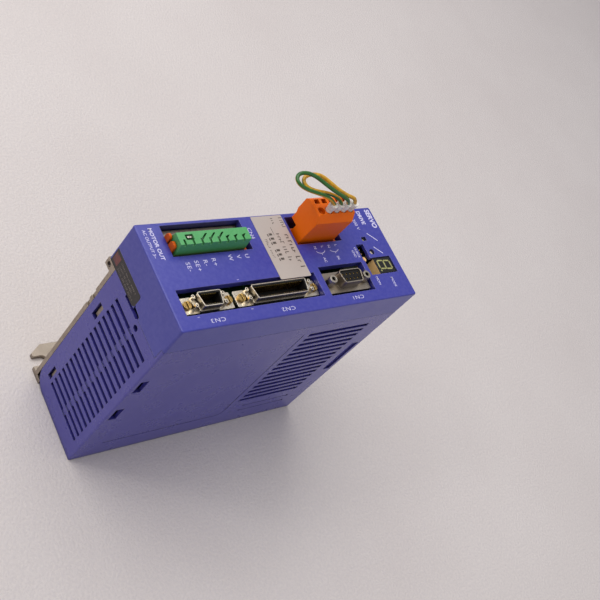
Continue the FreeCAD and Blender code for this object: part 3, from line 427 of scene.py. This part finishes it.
FINISHES = {
    blue: ["front_bezel"],
    housing_with_painted_reflection: ["main_housing"],
    chassis: ["back_plate", "side_wall", "earth_lug"],
    paper: ["nameplate_label"],
    dark_film: ["caution_label"],
    steel: ["side_wall_screws", "module_leads", "module_screws", "wall_spacers", "board_posts",
            "board_screws", "motor_header_pins", "power_header_pins", "motor_plug_clamps",
            "power_plug_clamps", "ferrule_barrels", "front_board_screws"],
    bright: ["serial_jackscrews"],
    nickel: ["port_50_shell", "port_14_shell"],
    tarnished: ["serial_shell"],
    gold: ["serial_contacts", "port_50_contacts", "port_14_contacts", "monitor_pins"],
    brass: ["port_screws"],
    copper: ["line_choke"],
    black: ["power_module", "rectifier_bridge", "inrush_relay", "control_chips", "board_link",
            "serial_insulator", "port_50_insert", "port_14_insert", "monitor_header",
            "button_switch"],
    circuit_board(): ["power_board", "control_board", "front_board"],
    orange: ["power_plug_body"],
    deep_orange: ["motor_header", "power_header"],
    green: ["motor_plug_body"],
    collar_plastic(): ["ferrule_collars"],
    tan: ["display_body", "trim_potentiometer"],
    cream: ["button_cap"],
    face_black: ["display_face"],
    unlit_lens(): ["display_segments", "status_lamp"],
    tape: ["transformer_winding"],
    ferrite: ["transformer_core"],
    pad: ["thermal_pad"],
    fuse_glass(): ["line_fuse"],
    capacitor_sleeve(): ["bus_capacitors"],
}
for material, node_names in FINISHES.items():
    for node_name in node_names:
        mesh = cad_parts[node_name].data
        mesh.materials.clear()
        mesh.materials.append(material)


# ---- printing ----
def add_mesh(name, mesh, body, material):
    mesh.materials.append(material)
    obj = new_object(name, mesh)
    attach(obj, body)


def text_mesh(words, size, bold, spacing):
    """Flat lettering of the print's thickness, centred in the xy plane, in millimetres."""
    curve = bpy.data.curves.new("lettering", "FONT")
    curve.body = words
    curve.size = size
    curve.offset = bold
    curve.space_character = spacing
    curve.align_x = "CENTER"
    curve.align_y = "CENTER"
    curve.resolution_u = 3
    curve.extrude = PRINT_T
    holder = bpy.data.objects.new("lettering", curve)
    made = bmesh.new()
    made.from_mesh(holder.to_mesh())
    holder.to_mesh_clear()
    bpy.data.objects.remove(holder)
    bpy.data.curves.remove(curve)
    return made


class Print:
    """Collects flat marks on one face: each is drawn in millimetres and moved to the face."""

    def __init__(self, plane):
        self.marks = bmesh.new()
        self.plane = plane

    def put(self, made, x, y, angle=0.0, stretch=1.0):
        bmesh.ops.scale(made, vec=(stretch, 1, 1), verts=made.verts)
        turn = Matrix.Translation((x, y, 0)) @ Matrix.Rotation(math.radians(angle), 4, "Z")
        bmesh.ops.transform(made, matrix=self.plane @ turn, verts=made.verts)
        flat = bpy.data.meshes.new("mark")
        made.to_mesh(flat)
        made.free()
        self.marks.from_mesh(flat)
        bpy.data.meshes.remove(flat)

    def text(self, words, x, y, size, bold=0.0, stretch=1.0, spacing=1.0, angle=0.0):
        self.put(text_mesh(words, size, bold, spacing), x, y, angle, stretch)

    def bar(self, x0, y0, x1, y1, width):
        """A straight line from one point to another."""
        made = bmesh.new()
        along = Vector((x1 - x0, y1 - y0, 0))
        side = Vector((-along.y, along.x, 0)).normalized() * width / 2
        start = Vector((x0, y0, PRINT_T))
        ring = [start - side, start + along - side, start + along + side, start + side]
        made.faces.new([made.verts.new(p) for p in ring])
        self.put(made, 0, 0)

    def rect(self, x0, y0, x1, y1):
        self.bar(x0, (y0 + y1) / 2, x1, (y0 + y1) / 2, abs(y1 - y0))

    def arc(self, x, y, r, start, end, width):
        steps = 10
        angles = [math.radians(start + (end - start) * i / steps) for i in range(steps + 1)]
        spots = [(x + r * math.cos(a), y + r * math.sin(a)) for a in angles]
        for a, b in zip(spots, spots[1:]):
            self.bar(*a, *b, width)

    def strokes(self, rng, x0, x1, y, height, weight):
        """A row of small upright marks, some with an arm, in word-like groups: it spells nothing."""
        arm_chance = 0.55
        arm_reach = height * 0.5
        arm_weight = weight * 0.8
        word_gap = height * 0.6
        x = x0
        while x < x1:
            for _ in range(rng.randint(2, 6)):
                tall = height * rng.choice((0.6, 0.8, 1.0))
                if x < x1:
                    self.rect(x, y, x + weight, y + tall)
                    if rng.random() < arm_chance:
                        level = y + tall * rng.choice((0.0, 0.45, 0.85))
                        self.rect(x + weight, level, min(x + arm_reach, x1), level + arm_weight)
                x += height * rng.uniform(0.55, 0.75)
            x += word_gap

    def finish(self, name, material):
        mesh = bpy.data.meshes.new(name)
        self.marks.to_mesh(mesh)
        self.marks.free()
        add_mesh(name, mesh, "drive", material)


MM = Matrix.Scale(0.001, 4)
FACE_DOWN_Y = Matrix.Rotation(math.radians(90), 4, "X")
front_plane = Matrix.Translation(at(0, 0, FRONT + PRINT_LIFT)) @ MM
label_plane = Matrix.Translation(at(0, 0, FRONT + LABEL_T + PRINT_LIFT)) @ MM
caution_plane = Matrix.Translation(at(0, CAUTION_PRINT_Y, 0)) @ FACE_DOWN_Y @ MM


def front_print():
    """The silkscreen: generic words and terminal marks, brackets and leader lines."""
    p = Print(front_plane)
    p.text("SERVO", 7.9, 156.2, 4.9, bold=0.22, stretch=0.86)
    p.text("DRIVE", 6.6, 148.8, 3.9, bold=0.14, stretch=0.86)
    p.text("200 V", 10.8, 142.4, 3.0, bold=0.02)
    p.text("MOTOR OUT", 11.6, 7.6, 3.0, bold=0.09)
    p.text("AC OUTPUT 3~", 11.4, 3.9, 2.4, bold=0.02, stretch=0.95)
    p.text("CN4", 10.4, 66.0, 3.3, stretch=1.05)
    for words, y in (("U", 56.5), ("V", 51.2), ("W", 46.0)):
        p.text(words, 23.2, y, 3.5, bold=0.02)
    for words, x, y in (("R+", 24.6, 35.5), ("R-", 24.6, 30.3),
                        ("SE+", 25.8, 25.0), ("SE-", 25.8, 19.8)):
        p.text(words, x, y, 3.5, stretch=1.1, spacing=1.1)
    for words, x, y in (("IN", 30.4, 116.3), ("AC", 30.8, 106.3)):
        # Two terminals, L and N, with a bracket that joins them to their word.
        p.text("L", 22.6, y + 2.7, 2.5, bold=0.02)
        p.text("N", 22.8, y - 2.7, 2.5, bold=0.02)
        p.arc(22.4, y, 4.2, -48, 48, 0.35)
        p.bar(26.6, y, 27.6, y, 0.35)
        p.text(words, x, y, 2.3, bold=0.05)
    for words, x, y in (("CN1", 55.2, 115.6), ("CN2", 55.4, 66.2), ("CN3", 55.4, 22.2)):
        p.text(words, x, y, 3.0, stretch=1.45, spacing=1.1, angle=-90)
    p.text("MODE", 49.5, 147.5, 2.2, bold=0.03)
    p.text("MON", 47.5, 136.5, 2.2, bold=0.03)
    p.text("CHECK", 28.6, 131.8, 2.1, bold=0.03)
    p.text("GND", 29.2, 129.2, 2.1, bold=0.03)
    p.bar(17.2, 147.0, 22.6, 152.4, 0.6)
    p.bar(26.3, 146.6, 31.0, 151.2, 0.6)
    for x, y in ((35.9, 44.0), (52.6, 44.2), (52.6, 12.2)):
        p.text("1", x, y, 1.9, bold=0.02)
    p.finish("front_print", white_ink)


def nameplate_print():
    """Rows of marks that look like small print and spell nothing, with a rule and bold blocks."""
    rng = random.Random(11)
    p = Print(label_plane)
    p.strokes(rng, 2.4, 9.4, 88.6, 2.2, 0.4)
    p.strokes(rng, 2.4, 6.4, 83.0, 2.0, 0.38)
    p.rect(8.0, 80.2, 13.0, 80.5)
    p.strokes(rng, 13.0, 34.0, 87.2, 3.1, 0.62)
    p.strokes(rng, 12.0, 29.0, 81.8, 2.7, 0.5)
    for x in (11.6, 14.2, 16.8, 21.4, 24.0, 26.6):
        p.rect(x, 76.9, x + 1.3, 79.1)
        p.rect(x + 0.3, 75.7, x + 1.8, 76.4)
    p.strokes(rng, 15.0, 27.0, 72.6, 1.5, 0.3)
    p.finish("nameplate_print", grey_ink)


def caution_print():
    """Plain pale marks and a plain red block on the dark strip of the lower skirt."""
    rng = random.Random(5)
    p = Print(caution_plane)
    for x1, y in ((26.0, 116.0), (24.0, 113.6), (26.5, 111.3)):
        p.strokes(rng, 8.4, x1, y, 1.3, 0.22)
    p.finish("caution_print", pale_ink)
    block = Print(caution_plane)
    block.rect(2.0, 111.8, 6.8, 117.6)
    block.finish("caution_block", red_ink)


front_print()
nameplate_print()
caution_print()


# ---- floor and light ----
def make_floor():
    """A wide sheet of pale foam with fine open cells."""
    mesh = bpy.data.meshes.new("floor")
    form = bmesh.new()
    bmesh.ops.create_grid(form, x_segments=1, y_segments=1, size=FLOOR_HALF)
    form.to_mesh(mesh)
    form.free()
    s = Shader("floor_foam", 0.8)
    cloud = s.ramp(s.noise(7, 5), 0.3, 0.7)
    cells = s.ramp(s.noise(620, 2), 0.35, 0.65)
    body = s.mix(cloud, srgb(226, 218, 214), srgb(219, 210, 206))
    s.color(s.mix(s.math("MULTIPLY", cells, 0.35), body, srgb(204, 197, 198)))
    s.bump(cells, 0.35, 0.0006)
    mesh.materials.append(s.mat)
    floor = new_object("floor", mesh)


# A soft light's name, place, what it points at, width in metres, power in watts and tint.
LIGHTS = [
    ("overhead", (-0.45, -0.20, 1.12), (0, 0, 0.05), 1.4, 10.6, (1.0, 0.985, 0.955)),
    ("side", (1.0, 0.1, 0.55), (0, 0, 0.06), 0.9, 0.8, (1.0, 0.97, 0.95)),
    ("edge", (-0.39, -0.80, 0.86), (0, 0, 0.08), 0.16, 1.0, (1.0, 0.98, 0.96)),
    ("sheen", (-0.56, 0.43, 0.95), (0, 0, 0.13), 0.3, 0.7, (1.0, 0.98, 0.97)),
]


def area_light(name, place, target, width, power, tint):
    data = bpy.data.lights.new(name, "AREA")
    data.shape = "DISK"
    data.size = width
    data.energy = power
    data.color = tint
    aim = (Vector(target) - Vector(place)).to_track_quat("-Z", "Y").to_matrix().to_4x4()
    new_object(name, data).matrix_world = Matrix.Translation(place) @ aim


make_floor()
for light in LIGHTS:
    area_light(*light)
world = bpy.data.worlds.new("studio")
world.use_nodes = True
background = world.node_tree.nodes["Background"].inputs
background["Color"].default_value = WORLD_TINT
background["Strength"].default_value = WORLD_STRENGTH
bpy.context.scene.world = world
bpy.context.scene.view_settings.view_transform = "Standard"
